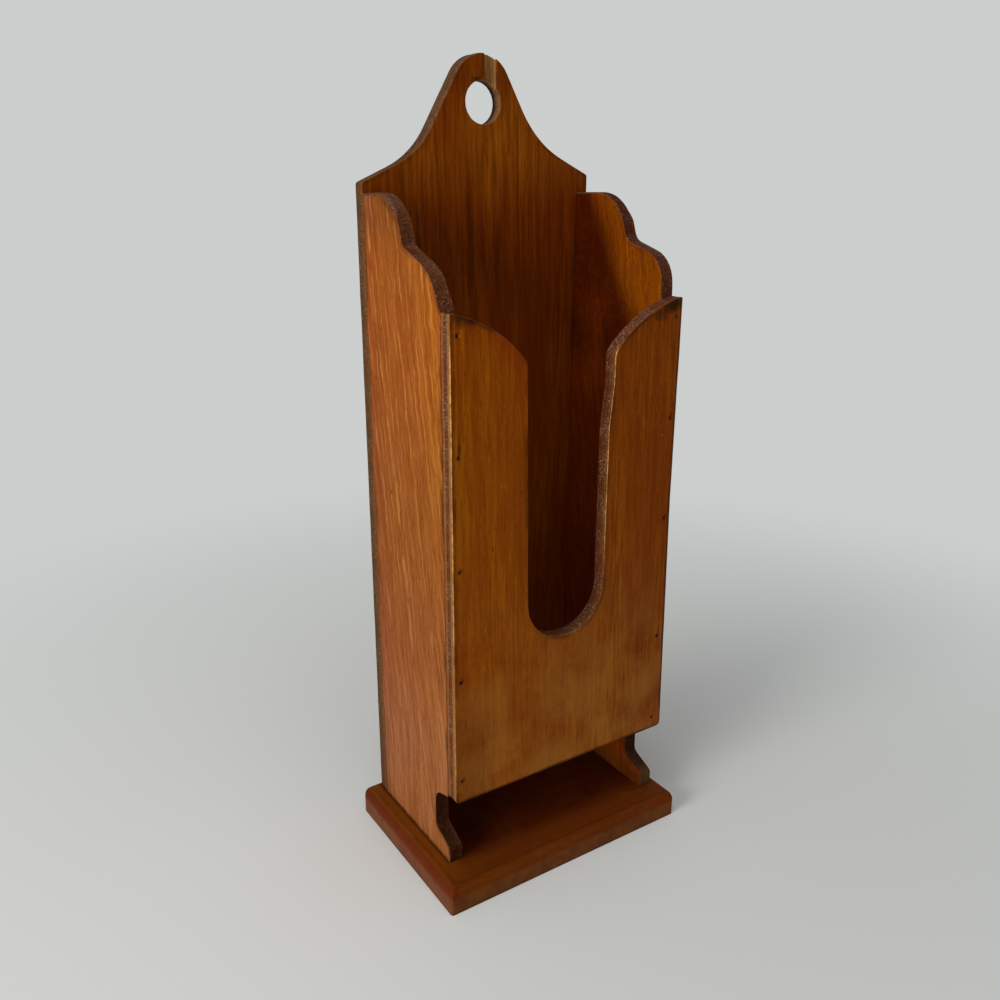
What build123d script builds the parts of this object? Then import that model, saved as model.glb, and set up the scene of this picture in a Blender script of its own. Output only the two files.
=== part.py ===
from build123d import *
import math
import os

# Wall box for letters: a back board with a hanging hole, two scalloped sides and a slotted front panel,
# all of thin plywood, on a solid base board with rounded edges. Brads hold the back and the front to the
# sides, and nails come up through the base. Millimetres, +Z up, the open front looks towards -Y.
# The origin is the middle of the base board's underside. Sizes named left and right differ because the
# boards were sawn by hand.

# Body: the box without its base
body_width = 140.0
body_depth = 91.0
sheet_thickness = 8.0

# Base board
base_thickness = 13.5
base_overhang_left = 11.5
base_overhang_right = 4.5
base_overhang_front = 14.3
base_overhang_rear = 2.0
base_edge_radius = 5.5
base_end_radius = 0.8
base_front_corner_radius = 1.5
base_rear_corner_radius = 3.5

# Heights, each on top of the one before: the gap under the front panel, the panel itself, the sides
# above the panel, the back board's shoulders above the sides, and the crown above the left shoulder
front_gap = 41.7
front_height = 254.4
left_side_rise = 50.4
right_side_rise = 51.3
left_shoulder_rise = 4.7
right_shoulder_rise = 9.2
crown_rise = 63.1

# Back board
crown_radius = 17.8
crown_flank_angle = 60.0
brow_angle = 24.0
left_knee_radius = 47.0
right_knee_radius = 57.0
hanging_hole_diameter = 21.0
hanging_hole_drop = 23.4
hanging_hole_shift = 0.6

# Strip of face ply torn off between the crown's edge and the hanging hole
torn_strip_depth = 2.4
torn_strip_top_start = 1.0
torn_strip_foot_start = 3.2
torn_strip_end = 8.7

# Scalloped tops of the sides
left_lobe_reach = 34.3
left_lobe_radius = 26.0
left_notch_step = 5.9
left_notch_drop = 23.4
left_notch_radius = 2.5
left_brow_setback = 9.6
left_brow_rise = 16.7
left_brow_radius = 21.0
right_lobe_reach = 37.6
right_lobe_radius = 25.5
right_notch_step = 7.7
right_notch_drop = 24.2
right_notch_radius = 7.5
right_brow_setback = 0.4
right_brow_rise = 18.5
right_brow_radius = 17.5

# Feet of the sides, under the front panel
left_cove_depth = 13.8
left_cove_radius = 8.0
left_toe_reach = 0.8
right_cove_depth = 9.3
right_cove_radius = 8.0
right_toe_reach = 5.8
cove_fall = 3.7
heel_height = 16.2
heel_radius = 4.0
toe_height = 9.6
toe_radius = 2.5

# Front panel
front_corner_radius = 2.5
right_flare = 3.0
right_flare_height = 145.0
slot_depth = 174.0
slot_left_reach = 27.1
slot_right_reach = 26.1
slot_bottom_left_reach = 24.8
slot_bottom_right_reach = 23.8
slot_step_drop = 42.0
slot_step_length = 22.0
slot_step_radius = 30.0
slot_knee_drop = 25.5
slot_knee_radius = 7.0
slot_bottom_flat = 1.2
shoulder_bow = 4.6

# Brads through the front panel and the back board into the edges of the sides. The brads in front were set by
# eye, so each has its own height, as a share of the front panel's height
brad_diameter = 1.4
brad_length = 22.0
brad_head_diameter = 2.2
brad_head_thickness = 0.9
brad_set = 0.8
left_front_brad_shares = (0.052, 0.279, 0.515, 0.739, 0.960)
right_front_brad_shares = (0.030, 0.241, 0.526, 0.749, 0.960)
back_brads_per_edge = 5
back_brad_margin = 22.0

# Nails up through the base board into the sides and the back board
nail_diameter = 1.8
nail_length = 28.0
nail_head_diameter = 4.4
nail_head_thickness = 1.0
nail_set = 0.4
side_nails = 3
back_nails = 3
side_nail_margin = 16.0
back_nail_spacing = 44.0

# How much wider a driven hole is than its fastener, all round
fastener_clearance = 0.05

# Places worked out from the sizes above
base_width = body_width + base_overhang_left + base_overhang_right
base_depth = body_depth + base_overhang_front + base_overhang_rear
body_x = (base_overhang_left - base_overhang_right) / 2
half_width = body_width / 2
rear_y = base_depth / 2 - base_overhang_rear
front_y = rear_y - body_depth
side_rear_y = rear_y - sheet_thickness
side_front_y = front_y + sheet_thickness
seat_z = base_thickness
front_bottom_z = seat_z + front_gap
front_top_z = front_bottom_z + front_height
left_side_top_z = front_top_z + left_side_rise
right_side_top_z = front_top_z + right_side_rise
left_shoulder_z = left_side_top_z + left_shoulder_rise
right_shoulder_z = right_side_top_z + right_shoulder_rise
crown_z = left_shoulder_z + crown_rise
hanging_hole_x = body_x + hanging_hole_shift
hanging_hole_z = crown_z - hanging_hole_drop
edge_x = half_width - sheet_thickness / 2
left_edge_x = body_x - edge_x
right_edge_x = body_x + edge_x


def rounded_face(outline, corners):
    """A flat face from its outline, with each listed corner (across, up, radius) rounded."""
    face = make_face(outline)
    for across, up, radius in corners:
        corner = face.vertices().sort_by_distance((across, up))[0]
        face = fillet(corner, radius)
    return face


def cornered_face(corners):
    """A face whose outline runs straight between corners (across, up, radius)."""
    points = [(across, up) for across, up, radius in corners]
    rounded = [corner for corner in corners if corner[2] > 0]
    return rounded_face(Polyline(*points, close=True), rounded)


def evenly(first, last, count):
    """Evenly spaced places from first to last."""
    return [first + (last - first) * step / (count - 1) for step in range(count)]


def fastener(diameter, length, head_diameter, head_thickness):
    """A round nail along +Z, with the top of its flat head at the origin."""
    radius = diameter / 2
    point = 2 * diameter
    shank = extrude(Circle(radius), length - point)
    tip = Pos(0, 0, length - point) * extrude(Circle(radius), point, taper=math.degrees(math.atan(0.2)))
    head = extrude(Circle(head_diameter / 2), head_thickness)
    return head + shank + tip


def driven_hole(diameter, length, head_diameter, head_thickness, set_depth):
    """What a driven nail takes out of the wood, from the face over its head to past its point."""
    gap = fastener_clearance
    shank = extrude(Circle(diameter / 2 + gap), length + gap)
    well = Pos(0, 0, -set_depth) * extrude(Circle(head_diameter / 2 + gap), head_thickness + set_depth)
    return shank + well


def brad():
    return fastener(brad_diameter, brad_length, brad_head_diameter, brad_head_thickness)


def brad_hole():
    return driven_hole(brad_diameter, brad_length, brad_head_diameter, brad_head_thickness, brad_set)


def nail():
    return fastener(nail_diameter, nail_length, nail_head_diameter, nail_head_thickness)


def nail_hole():
    return driven_hole(nail_diameter, nail_length, nail_head_diameter, nail_head_thickness, nail_set)


def front_brad_places(x, shares):
    """Brads driven backwards through the front panel into one side's front edge."""
    heights = [front_bottom_z + front_height * share for share in shares]
    return [Plane((x, front_y + brad_set, z), z_dir=(0, 1, 0)) for z in heights]


def back_brad_places(x):
    """Brads driven forwards through the back board into one side's rear edge."""
    heights = evenly(seat_z + back_brad_margin, left_side_top_z - back_brad_margin, back_brads_per_edge)
    return [Plane((x, rear_y - brad_set, z), z_dir=(0, -1, 0)) for z in heights]


def side_nail_places(x):
    """Nails driven up through the base board into one side's lower edge."""
    foremost = side_front_y + max(left_cove_depth, right_cove_depth)
    depths = evenly(side_rear_y - side_nail_margin, foremost + side_nail_margin / 2, side_nails)
    return [Plane((x, y, nail_set), z_dir=(0, 0, 1)) for y in depths]


def back_nail_places():
    """Nails driven up through the base board into the back board's lower edge."""
    reach = back_nail_spacing * (back_nails - 1) / 2
    across = evenly(body_x - reach, body_x + reach, back_nails)
    return [Plane((x, rear_y - sheet_thickness / 2, nail_set), z_dir=(0, 0, 1)) for x in across]


def group(shape, places):
    return Compound(children=[place * shape for place in places])


def drilled(board, hole, places):
    for place in places:
        board = board - place * hole
    return board


def base_board():
    """Solid board, its top edges rounded over at the left and the front, its right end sawn off square."""
    left = -base_width / 2
    right = base_width / 2
    front = -base_depth / 2
    rear = base_depth / 2
    plan = cornered_face(
        [
            (left, rear, base_rear_corner_radius),
            (left, front, base_front_corner_radius),
            (right, front, base_front_corner_radius),
            (right, rear, base_rear_corner_radius),
        ]
    )
    across = cornered_face(
        [
            (left, 0, 0),
            (right, 0, 0),
            (right, base_thickness, base_end_radius),
            (left, base_thickness, base_edge_radius),
        ]
    )
    along = cornered_face(
        [
            (rear, 0, 0),
            (rear, base_thickness, 0),
            (front, base_thickness, base_edge_radius),
            (front, 0, 0),
        ]
    )
    board = extrude(plan, base_thickness)
    board = board & extrude(Plane.XZ * across, base_depth, both=True)
    board = board & extrude(Plane.YZ * along, base_width, both=True)
    places = side_nail_places(left_edge_x) + side_nail_places(right_edge_x) + back_nail_places()
    return drilled(board, nail_hole(), places)


def crown_knee(shoulder_z):
    """Where the crown's flank, run straight down, meets the brow that rises from a shoulder."""
    flank = math.tan(math.radians(crown_flank_angle))
    brow = math.tan(math.radians(brow_angle))
    across = (crown_apex_z() - shoulder_z - brow * half_width) / (flank - brow)
    return across, crown_apex_z() - flank * across


def crown_apex_z():
    """Where the two flanks would meet above the rounded crown."""
    return crown_z - crown_radius + crown_radius / math.cos(math.radians(crown_flank_angle))


def torn_strip():
    """The shallow strip of face ply that is missing from the crown's edge down to the hanging hole."""
    outline = Polyline(
        (body_x + torn_strip_top_start, crown_z),
        (body_x + torn_strip_end, crown_z),
        (body_x + torn_strip_end, hanging_hole_z),
        (body_x + torn_strip_foot_start, hanging_hole_z),
        close=True,
    )
    face = Plane.XZ.offset(-side_rear_y) * make_face(outline)
    return extrude(face, -torn_strip_depth)


def back_board():
    """Full-width board behind the sides, with a bell-shaped crown and the hanging hole."""
    left_across, left_knee_z = crown_knee(left_shoulder_z)
    right_across, right_knee_z = crown_knee(right_shoulder_z)
    face = cornered_face(
        [
            (body_x - half_width, seat_z, 0),
            (body_x + half_width, seat_z, 0),
            (body_x + half_width, right_shoulder_z, 0),
            (body_x + right_across, right_knee_z, right_knee_radius),
            (body_x, crown_apex_z(), crown_radius),
            (body_x - left_across, left_knee_z, left_knee_radius),
            (body_x - half_width, left_shoulder_z, 0),
        ]
    )
    face = face - Pos(hanging_hole_x, hanging_hole_z) * Circle(hanging_hole_diameter / 2)
    board = extrude(Plane.XZ.offset(-rear_y) * face, sheet_thickness)
    board = board - torn_strip()
    board = drilled(board, brad_hole(), back_brad_places(left_edge_x) + back_brad_places(right_edge_x))
    return drilled(board, nail_hole(), back_nail_places())


def side_board(outer_x, edge_middle_x, top_z, scallop, foot, brad_shares):
    """One side: two scalloped lobes step its top down to the front panel, a cove cuts a foot below it."""
    lobe_reach, lobe_radius, notch_step, notch_drop, notch_radius, setback, rise, brow_radius = scallop
    cove_depth, cove_radius, toe_reach = foot
    lobe_y = side_rear_y - lobe_reach
    cove_y = side_front_y + cove_depth
    toe_y = side_front_y - toe_reach
    face = cornered_face(
        [
            (side_rear_y, seat_z, 0),
            (side_rear_y, top_z, 0),
            (lobe_y, top_z, lobe_radius),
            (lobe_y - notch_step, top_z - notch_drop, notch_radius),
            (side_front_y + setback, front_top_z + rise, brow_radius),
            (side_front_y, front_top_z, 0),
            (side_front_y, front_bottom_z, 0),
            (cove_y, front_bottom_z - cove_fall, cove_radius),
            (cove_y, seat_z + heel_height, heel_radius),
            (toe_y, seat_z + toe_height, toe_radius),
            (toe_y, seat_z, 0),
        ]
    )
    board = extrude(Plane.YZ.offset(outer_x) * face, sheet_thickness)
    places = front_brad_places(edge_middle_x, brad_shares) + back_brad_places(edge_middle_x)
    board = drilled(board, brad_hole(), places)
    return drilled(board, nail_hole(), side_nail_places(edge_middle_x))


def left_side():
    scallop = (
        left_lobe_reach,
        left_lobe_radius,
        left_notch_step,
        left_notch_drop,
        left_notch_radius,
        left_brow_setback,
        left_brow_rise,
        left_brow_radius,
    )
    foot = (left_cove_depth, left_cove_radius, left_toe_reach)
    outer_x = body_x - half_width
    return side_board(outer_x, left_edge_x, left_side_top_z, scallop, foot, left_front_brad_shares)


def right_side():
    scallop = (
        right_lobe_reach,
        right_lobe_radius,
        right_notch_step,
        right_notch_drop,
        right_notch_radius,
        right_brow_setback,
        right_brow_rise,
        right_brow_radius,
    )
    foot = (right_cove_depth, right_cove_radius, right_toe_reach)
    outer_x = body_x + half_width - sheet_thickness
    return side_board(outer_x, right_edge_x, right_side_top_z, scallop, foot, right_front_brad_shares)


def front_panel():
    """Panel over the front edges of the sides, wider at its lower right, with a round-bottomed slot."""
    left = body_x - half_width
    right = body_x + half_width
    right_foot = (right + right_flare, front_bottom_z)
    flare_start = (right, front_bottom_z + right_flare_height)
    knee_z = front_top_z - slot_knee_drop
    slot_bottom_z = front_top_z - slot_depth
    step_top = (body_x + slot_right_reach, front_top_z - slot_step_drop)
    step_foot = (body_x + slot_bottom_right_reach, front_top_z - slot_step_drop - slot_step_length)
    left_knee = (body_x - slot_left_reach, knee_z)
    right_knee = (body_x + slot_right_reach, knee_z)
    slot_left = (body_x - slot_bottom_left_reach, slot_bottom_z)
    slot_right = (body_x + slot_bottom_right_reach, slot_bottom_z)
    slot_radius = (slot_bottom_left_reach + slot_bottom_right_reach - slot_bottom_flat) / 2
    outline = Curve() + [
        Polyline((left, front_top_z), (left, front_bottom_z), right_foot, flare_start, (right, front_top_z)),
        SagittaArc((right, front_top_z), right_knee, -shoulder_bow),
        Polyline(right_knee, step_top, step_foot, slot_right, slot_left, left_knee),
        SagittaArc(left_knee, (left, front_top_z), -shoulder_bow),
    ]
    face = rounded_face(
        outline,
        [
            (left, front_bottom_z, front_corner_radius),
            (*right_foot, front_corner_radius),
            (*right_knee, slot_knee_radius),
            (*step_top, slot_step_radius),
            (*step_foot, slot_step_radius),
            (*slot_right, slot_radius),
            (*slot_left, slot_radius),
            (*left_knee, slot_knee_radius),
        ],
    )
    board = extrude(Plane.XZ.offset(-side_front_y) * face, sheet_thickness)
    places = front_brad_places(left_edge_x, left_front_brad_shares)
    places += front_brad_places(right_edge_x, right_front_brad_shares)
    return drilled(board, brad_hole(), places)


nodes = {
    "base_board": base_board(),
    "back_board": back_board(),
    "left_side": left_side(),
    "right_side": right_side(),
    "front_panel": front_panel(),
    "front_brads_left": group(brad(), front_brad_places(left_edge_x, left_front_brad_shares)),
    "front_brads_right": group(brad(), front_brad_places(right_edge_x, right_front_brad_shares)),
    "back_brads_left": group(brad(), back_brad_places(left_edge_x)),
    "back_brads_right": group(brad(), back_brad_places(right_edge_x)),
    "base_nails_left": group(nail(), side_nail_places(left_edge_x)),
    "base_nails_right": group(nail(), side_nail_places(right_edge_x)),
    "base_nails_back": group(nail(), back_nail_places()),
}

os.makedirs("parts", exist_ok=True)
for name, shape in nodes.items():
    shape.label = name
    export_step(shape, f"parts/{name}.step")
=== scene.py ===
"""Looks of a hand-made wall box for letters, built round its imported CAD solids.

Five boards: a base of solid wood, and a back, two sides and a slotted front of stained three-ply. Each ply
board is made again here from its solid's own outline, with worn arrises, sawn edges that show their layers,
and points close enough together to carry them. Lengths are metres, +Z is up and the open front looks
towards -Y.
"""

import math

import bpy
import numpy as np
from mathutils import Matrix, Vector, noise
from mathutils.geometry import delaunay_2d_cdt


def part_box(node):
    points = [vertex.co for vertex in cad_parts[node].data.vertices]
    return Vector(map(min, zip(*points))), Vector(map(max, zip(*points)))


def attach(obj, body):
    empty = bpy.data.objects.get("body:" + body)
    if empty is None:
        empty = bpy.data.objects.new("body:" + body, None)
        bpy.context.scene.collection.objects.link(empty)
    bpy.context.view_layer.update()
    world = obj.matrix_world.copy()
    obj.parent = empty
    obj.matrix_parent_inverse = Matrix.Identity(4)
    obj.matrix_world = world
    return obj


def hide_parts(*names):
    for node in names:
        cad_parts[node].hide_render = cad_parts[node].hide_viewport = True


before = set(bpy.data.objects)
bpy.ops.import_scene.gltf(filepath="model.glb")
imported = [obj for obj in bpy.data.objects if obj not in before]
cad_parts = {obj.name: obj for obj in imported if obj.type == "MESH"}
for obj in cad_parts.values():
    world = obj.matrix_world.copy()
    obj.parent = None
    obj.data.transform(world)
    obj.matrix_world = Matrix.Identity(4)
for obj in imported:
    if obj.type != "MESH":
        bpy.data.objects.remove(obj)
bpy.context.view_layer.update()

MM = 0.001
BODY = "root"


def set_out(name, data):
    """Puts a mesh, lamp or camera into the scene."""
    thing = bpy.data.objects.new(name, data)
    bpy.context.scene.collection.objects.link(thing)
    return thing


# Boards

def flat_face_loops(node, axis, at_high):
    """The loops of points round a board's flat face, longest first, in the two axes across its thickness."""
    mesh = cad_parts[node].data
    mesh.calc_loop_triangles()
    places = np.array([v.co for v in mesh.vertices])
    level = places[:, axis].max() if at_high else places[:, axis].min()
    across = [a for a in range(3) if a != axis]
    names, spots, follows = {}, [], {}
    for triangle in mesh.loop_triangles:
        corners = places[list(triangle.vertices)]
        if np.abs(corners[:, axis] - level).max() > 1e-5:
            continue
        turn = []
        for corner in corners:
            key = tuple(np.round(corner[across], 6))
            if key not in names:
                names[key] = len(spots)
                spots.append(corner[across])
            turn.append(names[key])
        for start, end in zip(turn, turn[1:] + turn[:1]):
            follows.setdefault(start, set()).add(end)
    rim = {start: end for start, ends in follows.items() for end in ends if start not in follows.get(end, ())}
    loops = []
    while rim:
        start, here = rim.popitem()
        loop = [start]
        while here != start:
            loop.append(here)
            here = rim.pop(here)
        loops.append(np.array([spots[i] for i in loop]))
    return sorted(loops, key=lambda loop: -np.ptp(loop, axis=0).max())


# Middle of the hanging hole, across and up: the highest opening in the back board's rear face
HOLE = max((loop.mean(axis=0) for loop in flat_face_loops("back_board", 1, True)[1:]),
           key=lambda middle: middle[1])


def signed_area(loop):
    x, y = loop[:, 0], loop[:, 1]
    return 0.5 * np.sum(x * np.roll(y, -1) - np.roll(x, -1) * y)


def even_steps(loop, step, sharp=25):
    """The loop with points about a step apart, its sharp corners kept and then eased a little."""
    if signed_area(loop) < 0:
        loop = loop[::-1]
    inward = loop - np.roll(loop, 1, axis=0)
    onward = np.roll(loop, -1, axis=0) - loop
    bend = np.degrees(np.arctan2(
        inward[:, 0] * onward[:, 1] - inward[:, 1] * onward[:, 0], (inward * onward).sum(axis=1)))
    corners = np.flatnonzero(np.abs(bend) > sharp)
    first = corners[0] if len(corners) else 0
    loop = np.roll(loop, -first, axis=0)
    stops = [c - first for c in corners] or [0]
    closed = np.vstack([loop, loop[:1]])
    points = []
    for start, end in zip(stops, stops[1:] + [len(loop)]):
        run = closed[start:end + 1]
        lengths = np.linalg.norm(np.diff(run, axis=0), axis=1)
        travelled = np.concatenate([[0], np.cumsum(lengths)])
        count = max(1, round(travelled[-1] / step))
        at = np.linspace(0, travelled[-1], count + 1)[:-1]
        points.append(np.column_stack([np.interp(at, travelled, run[:, k]) for k in (0, 1)]))
    points = np.vstack(points)
    for _ in range(2):
        points = 0.5 * points + 0.25 * (np.roll(points, 1, axis=0) + np.roll(points, -1, axis=0))
    return points


def outward_normals(loop):
    ahead = np.roll(loop, -1, axis=0) - np.roll(loop, 1, axis=0)
    ahead /= np.linalg.norm(ahead, axis=1)[:, None]
    return np.column_stack([ahead[:, 1], -ahead[:, 0]])


def rough(points, size, seed):
    """Smooth noise from 0 to 1 at each point, with bumps about as large as size."""
    shift = Vector((seed * 7.31, seed * 3.77, seed * 1.93))
    return np.array([0.5 + 0.5 * noise.noise(Vector(point) / size + shift) for point in points])


def distance_to(points, rim):
    """How far each point is from the nearest point of the rim."""
    found = np.empty(len(points))
    for start in range(0, len(points), 2000):
        part = points[start:start + 2000]
        found[start:start + 2000] = np.sqrt(
            ((part[:, None, :] - rim[None, :, :]) ** 2).sum(axis=2).min(axis=1))
    return found


def inside(points, loop):
    """Which of the points lie within the loop."""
    x, y = points[:, :1], points[:, 1:]
    (from_x, from_y), (to_x, to_y) = loop.T, np.roll(loop, -1, axis=0).T
    crossed = (from_y > y) != (to_y > y)
    rise = np.where(to_y == from_y, 1.0, to_y - from_y)
    return (crossed & (x < from_x + (y - from_y) * (to_x - from_x) / rise)).sum(axis=1) % 2 == 1


def middle_and_radius(loop):
    middle = loop.mean(axis=0)
    return middle, np.linalg.norm(loop - middle, axis=1).mean()


def rounding(soft, degrees):
    """A point so far round an arris: how far in it lies, how deep, and how much it has turned by then."""
    turn = math.radians(degrees)
    return soft * (1 - math.sin(turn)), soft * (1 - math.cos(turn)), math.sin(turn)


def ring_round(centre, radius, count):
    angles = np.arange(count) * 2 * math.pi / count
    return np.column_stack([centre[0] + radius * np.cos(angles), centre[1] + radius * np.sin(angles)])


# What every point of a sheet carries: its depth as a share of the thickness, how far it lies on a saw cut and
# on an arris, its distance from the face's rim in millimetres, and how stained it is by a nail
MARKS = ("layer", "sawn", "arris", "rim", "nail")


class Sheet:
    """Collects one board's points, faces and marks. Place turns flat spots and their depth into points."""

    def __init__(self, place, thick):
        self.place, self.thick = place, thick
        self.points, self.faces = [], []
        self.marks = {label: [] for label in MARKS}
        self.count = 0

    def add(self, flat, depth, **marks):
        first = self.count
        self.points.append(self.place(flat, depth))
        marks["layer"] = depth / self.thick
        for name, values in self.marks.items():
            values.append(np.broadcast_to(np.asarray(marks.get(name, 0.0), float), len(flat)))
        self.count += len(flat)
        return np.arange(first, self.count)

    def stack(self, rings, turned):
        """Adds rings of as many points, as (flat, depth, marks), with quads between each and the next."""
        numbers = [self.add(flat, depth, **marks) for flat, depth, marks in rings]
        for pair in zip(numbers, numbers[1:]):
            lower, upper = pair[::-1] if turned else pair
            corners = lower, np.roll(lower, -1), np.roll(upper, -1), upper
            self.faces.extend(np.column_stack(corners).tolist())
        return numbers

    def build(self, name, rubbed):
        mesh = bpy.data.meshes.new(name)
        points = np.vstack(self.points)
        mesh.from_pydata(points.tolist(), [], self.faces)
        marks = {mark: np.concatenate(values) for mark, values in self.marks.items()}
        marks["rub"] = rubbed(*(points.T / MM))
        for mark, values in marks.items():
            layer = mesh.attributes.new(mark, "FLOAT", "POINT")
            layer.data.foreach_set("value", values.astype(np.float32))
        mesh.polygons.foreach_set("use_smooth", [True] * len(mesh.polygons))
        mesh.update()
        return set_out(name, mesh)


# Where a flat face has its points: rings inside its rim, with one point for so many of the rim's, a grid over
# the rest, and rings round its holes
RINGS_WITHIN_RIM = ((0.7 * MM, 1), (1.8 * MM, 2), (3.6 * MM, 4))
GRID_GAP, GRID_MARGIN = 6 * MM, 5.2 * MM
RINGS_ROUND_HOLE, HOLE_MARGIN = (0.5 * MM, 1.2 * MM, 2.4 * MM), 0.3 * MM
NAIL_STAIN_REACH = 1.9 * MM
FLAT_SCALE = 1000.0      # the triangulation works best on numbers near one


def fill_face(sheet, rings, depth, turned):
    """Fills a flat face inside its first ring and outside the others, closer together near its rim."""
    rim, holes = rings[0][0], rings[1:]
    normals = outward_normals(rim)
    inner = []
    for inset, every in RINGS_WITHIN_RIM:
        ring = (rim - normals * inset)[::every]
        inner.append(ring[distance_to(ring, rim) > 0.93 * inset])
    low, high = rim.min(axis=0), rim.max(axis=0)
    grid = np.array([
        (x + (GRID_GAP / 2 if row % 2 else 0), z)
        for row, z in enumerate(np.arange(low[1] + GRID_GAP / 2, high[1], GRID_GAP))
        for x in np.arange(low[0] + GRID_GAP / 2, high[0], GRID_GAP)])
    inner.append(grid[distance_to(grid, rim) > GRID_MARGIN])
    for points, _ in holes:
        centre, radius = middle_and_radius(points)
        for further in RINGS_ROUND_HOLE:
            inner.append(ring_round(centre, radius + further, len(points) // 2))
    inner = np.vstack(inner)
    for points, _ in holes:
        inner = inner[distance_to(inner, points) > HOLE_MARGIN]
        inner = inner[~inside(inner, points)]
    edges, flat, known = [], [], []
    for points, numbers in rings:
        start = len(flat)
        flat.extend(points)
        known.extend(numbers)
        edges.extend((start + i, start + (i + 1) % len(points)) for i in range(len(points)))
    bound = len(flat)
    flat = np.vstack([np.array(flat), inner])
    found = delaunay_2d_cdt([Vector(p * FLAT_SCALE) for p in flat], edges, [], 1, 1e-5)
    spots, triangles, origins = np.array([tuple(v) for v in found[0]]) / FLAT_SCALE, found[2], found[3]
    numbers = np.full(len(spots), -1)
    for i, source in enumerate(origins):
        ring_sources = [s for s in source if s < bound]
        if ring_sources:
            numbers[i] = known[ring_sources[0]]
    triangles = np.array(triangles)
    middles = spots[triangles].mean(axis=1)
    for points, _ in holes:
        kept = ~inside(middles, points)
        triangles, middles = triangles[kept], middles[kept]
    used = np.zeros(len(spots), bool)
    used[triangles] = True
    fresh = np.flatnonzero((numbers < 0) & used)
    away = distance_to(spots[fresh], rim)
    nail = np.zeros(len(fresh))
    for points, _ in holes:
        from_nail = np.linalg.norm(spots[fresh] - points.mean(axis=0), axis=1)
        nail = np.maximum(nail, 0.5 * np.exp(-(from_nail / NAIL_STAIN_REACH) ** 2))
    numbers[fresh] = sheet.add(spots[fresh], depth, rim=away / MM, nail=nail)
    corners = numbers[triangles]
    sheet.faces.extend((corners[:, ::-1] if turned else corners).tolist())


OUTLINE_STEP = 0.8 * MM
# An arris in five rings, from flat face to saw cut, and how much of the arris' wear each carries
FRONT_ARRIS, REAR_ARRIS = (0.25, 0.85, 1.0, 0.85, 0.35), (0.2, 0.5, 0.6, 0.5, 0.15)
RINGS_ACROSS_CUT = 12
CORE_FROM, CORE_TO = 0.36, 0.64
GLUE_LINES, GLUE_WIDTH = (0.345, 0.655), 0.03


def sawn_sheet(name, node, axis, face_high, seed, rubbed, softened, frayed, wear=1.0):
    """A ply board from its solid's outline: flat faces, worn arrises, and sawn edges with their three layers.

    The face that people see is the high one along the axis where face_high is true. Depth runs from it.
    From a place in millimetres, rubbed says how bare handling has worn the edge there, softened how many
    millimetres rounder its two arrises are there, and frayed how rough the saw has left it, from 0 to 1."""
    low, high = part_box(node)
    seen = high[axis] if face_high else low[axis]
    inwards = -1.0 if face_high else 1.0
    thick = high[axis] - low[axis]
    flip = (axis == 1) == face_high      # keeps the outside outwards for boards across X and across Y
    across = [a for a in range(3) if a != axis]

    def place(flat_points, depth=0.0):
        spots = np.empty((len(flat_points), 3))
        spots[:, across] = flat_points
        spots[:, axis] = seen + inwards * depth
        return spots

    loops = {side: flat_face_loops(node, axis, side == face_high) for side in (True, False)}
    outline = even_steps(loops[node != "back_board"][0], OUTLINE_STEP)
    sheet = Sheet(place, thick)
    normals = outward_normals(outline)
    at = place(outline)
    slow, quick = rough(at, 14 * MM, seed), rough(at, 3.1 * MM, seed + 1)
    wander = (0.02 + 0.16 * slow + 0.07 * quick) * MM
    rounder_front, rounder_rear = (np.broadcast_to(more, len(at)) for more in softened(*(at.T / MM)))
    soft_front = (0.25 + 0.40 * wear * rough(at, 22 * MM, seed + 2) + rounder_front) * MM
    soft_rear = (0.25 + 0.30 * rough(at, 19 * MM, seed + 3) + rounder_rear) * MM
    fray = frayed(*(at.T / MM))
    rings = []
    for step, arris in enumerate(FRONT_ARRIS):
        inset, depth, turned = rounding(soft_front, 90 * step / 4)
        sawn = np.clip(turned ** 2 + 0.8 * rounder_front * turned, 0, 1)
        rings.append((inset + wander * turned, depth, {"sawn": sawn, "arris": arris}))
    for depth_share in np.linspace(0, 1, RINGS_ACROSS_CUT + 2)[1:-1]:
        depth = soft_front + (thick - soft_front - soft_rear) * depth_share
        share = depth / thick
        torn = rough(place(outline, depth_share * thick), 1.1 * MM, seed + 5)
        fibres = rough(place(outline, depth_share * thick), 2.3 * MM, seed + 6)
        core = ((share > CORE_FROM) & (share < CORE_TO)).astype(float)
        glue = sum(np.exp(-((share - line) / GLUE_WIDTH) ** 2) for line in GLUE_LINES)
        inset = wander + (0.10 * glue + core * 0.05 + (0.04 + 0.12 * core) * torn
                          + fray * (0.35 * torn + 0.55 * fibres - 0.15)) * MM
        rings.append((inset, depth, {"sawn": 1.0}))
    for step, arris in enumerate(REAR_ARRIS):
        inset, depth, turned = rounding(soft_rear, 90 - 90 * step / 4)
        rings.append((inset + wander * turned, thick - depth, {"sawn": turned ** 2, "arris": arris}))
    rings = [(outline - normals * inset[:, None], depth, marks) for inset, depth, marks in rings]
    numbers = sheet.stack(rings, not flip)
    faces = {True: [(rings[0][0], numbers[0])], False: [(rings[-1][0], numbers[-1])]}
    punched = node == "front_panel"      # its nails went in through the face that people see
    holes = loops[punched][1:]
    if node == "back_board":
        bore_hole(sheet, faces, holes.pop(0), flip, seed)
    for loop in holes:
        nail_well(sheet, faces, punched, loop, flip)
    fill_face(sheet, faces[True], 0.0, flip)
    fill_face(sheet, faces[False], thick, not flip)
    board = sheet.build(name, rubbed)
    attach(board, BODY)
    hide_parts(node)
    return board


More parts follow.
